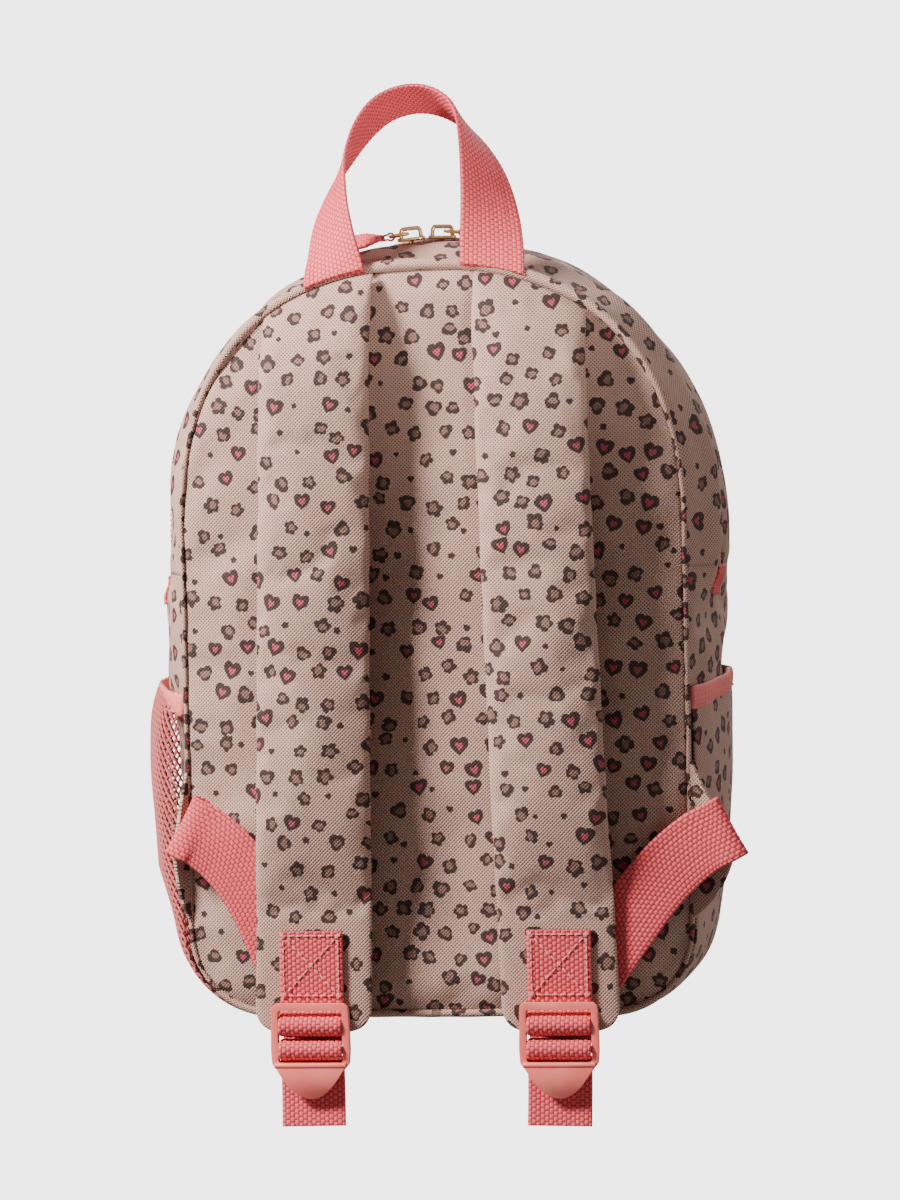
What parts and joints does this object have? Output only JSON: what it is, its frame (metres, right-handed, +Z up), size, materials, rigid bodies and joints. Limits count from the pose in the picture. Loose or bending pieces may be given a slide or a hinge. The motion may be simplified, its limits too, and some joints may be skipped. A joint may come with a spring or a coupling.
{
  "type": "school backpack",
  "caption": "Small round-topped backpack with padded shoulder straps, a webbing carry handle, a two-way zip over the top, a net side pocket and a cloth side pocket.",
  "frame": {"origin": "inside face of the carry handle at its crown, where the bag hangs on a hook", "axes": "+Z up, +Y from the back panel towards the front pocket, +X to the right as seen from the shoulder-strap side"},
  "size_m": [0.2338, 0.1455, 0.4056],
  "materials": {
    "printed_cloth": "woven polyester with a printed scatter of hearts and spots",
    "lining": "plain woven lining",
    "foam": "open-cell foam",
    "board": "thin stiffening board",
    "zip_tape": "woven zip tape",
    "zip_teeth": "moulded teeth",
    "webbing": "heavy woven webbing",
    "mesh": "open net",
    "elastic": "ribbed elastic",
    "salmon_plastic": "moulded acetal",
    "gold_metal": "polished light gold plating"
  },
  "bodies": {
    "bag": {"back_panel": "printed_cloth", "back_foam": "foam", "back_lining": "lining", "back_piping": "printed_cloth", "gusset_back_strip": "printed_cloth", "side_panel_left": "printed_cloth", "side_panel_right": "printed_cloth", "base_panel": "printed_cloth", "base_board": "board", "front_panel_lower": "printed_cloth", "front_piping_lower": "printed_cloth", "zip_tape_back": "zip_tape", "zip_teeth_back": "zip_teeth", "zip_end_tab_left": "webbing", "zip_end_tab_right": "webbing", "mesh_pocket": "mesh", "mesh_pocket_band": "elastic", "cloth_pocket": "printed_cloth", "cloth_pocket_band": "elastic", "front_pocket": "printed_cloth", "front_pocket_binding": "webbing", "anchor_tab_left": "printed_cloth", "anchor_tab_right": "printed_cloth", "lower_webbing_left": "webbing", "lower_webbing_right": "webbing"},
    "front_flap": {"front_panel_upper": "printed_cloth", "front_piping_upper": "printed_cloth", "gusset_front_strip": "printed_cloth", "zip_tape_front": "zip_tape", "zip_teeth_front": "zip_teeth"},
    "handle": {"carry_handle": "webbing"},
    "zip_slider_left": {"zip_slider_left": "gold_metal"},
    "pull_ring_left": {"pull_ring_left": "gold_metal"},
    "pull_tab_left": {"pull_tab_left": "webbing"},
    "strap_left": {"strap_cover_left": "printed_cloth", "strap_foam_left": "foam", "buckle_loop_left": "webbing"},
    "adjuster_left": {"ladder_lock_left": "salmon_plastic", "webbing_tail_left": "webbing"},
    "zip_slider_right": {"zip_slider_right": "gold_metal"},
    "pull_ring_right": {"pull_ring_right": "gold_metal"},
    "pull_tab_right": {"pull_tab_right": "webbing"},
    "strap_right": {"strap_cover_right": "printed_cloth", "strap_foam_right": "foam", "buckle_loop_right": "webbing"},
    "adjuster_right": {"ladder_lock_right": "salmon_plastic", "webbing_tail_right": "webbing"}
  },
  "joints": [
    {"name": "front_flap_fold", "type": "hinge", "parent": "bag", "child": "front_flap", "pos_m": [0, 0.08308, -0.18543], "axis": [-1, 0, 0], "range_deg": [0, 90]},
    {"name": "handle_fold", "type": "hinge", "parent": "bag", "child": "handle", "pos_m": [0, -0.02712, -0.06713], "axis": [1, 0, 0], "range_deg": [-25, 60], "stiffness_Nm_per_rad": 0.06},
    {"name": "zip_slide_left", "type": "hinge", "parent": "bag", "child": "zip_slider_left", "pos_m": [0, 0.00988, -0.16543], "axis": [0, -1, 0], "range_deg": [0, 84]},
    {"name": "pull_ring_swing_left", "type": "hinge", "parent": "zip_slider_left", "child": "pull_ring_left", "pos_m": [-0.01153, 0.00988, -0.05203], "axis": [0, 1, 0], "range_deg": [0, 95]},
    {"name": "pull_tab_swing_left", "type": "hinge", "parent": "pull_ring_left", "child": "pull_tab_left", "pos_m": [-0.01843, 0.00988, -0.05315], "axis": [0, 1, 0], "range_deg": [0, 60]},
    {"name": "strap_swing_left", "type": "hinge", "parent": "bag", "child": "strap_left", "pos_m": [-0.0415, -0.03112, -0.06743], "axis": [-1, 0, 0], "range_deg": [0, 25]},
    {"name": "adjuster_tilt_left", "type": "hinge", "parent": "strap_left", "child": "adjuster_left", "pos_m": [-0.0485, -0.04532, -0.36043], "axis": [-1, 0, 0], "range_deg": [0, 28], "stiffness_Nm_per_rad": 0.01},
    {"name": "zip_slide_right", "type": "hinge", "parent": "bag", "child": "zip_slider_right", "pos_m": [0, 0.00988, -0.16543], "axis": [0, 1, 0], "range_deg": [0, 88]},
    {"name": "pull_ring_swing_right", "type": "hinge", "parent": "zip_slider_right", "child": "pull_ring_right", "pos_m": [0.00359, 0.00988, -0.0515], "axis": [0, -1, 0], "range_deg": [0, 95]},
    {"name": "pull_tab_swing_right", "type": "hinge", "parent": "pull_ring_right", "child": "pull_tab_right", "pos_m": [0.01056, 0.00988, -0.05214], "axis": [0, -1, 0], "range_deg": [0, 60]},
    {"name": "strap_swing_right", "type": "hinge", "parent": "bag", "child": "strap_right", "pos_m": [0.0415, -0.03112, -0.06743], "axis": [-1, 0, 0], "range_deg": [0, 25]},
    {"name": "adjuster_tilt_right", "type": "hinge", "parent": "strap_right", "child": "adjuster_right", "pos_m": [0.0485, -0.04532, -0.36043], "axis": [-1, 0, 0], "range_deg": [0, 28], "stiffness_Nm_per_rad": 0.01}
  ]
}
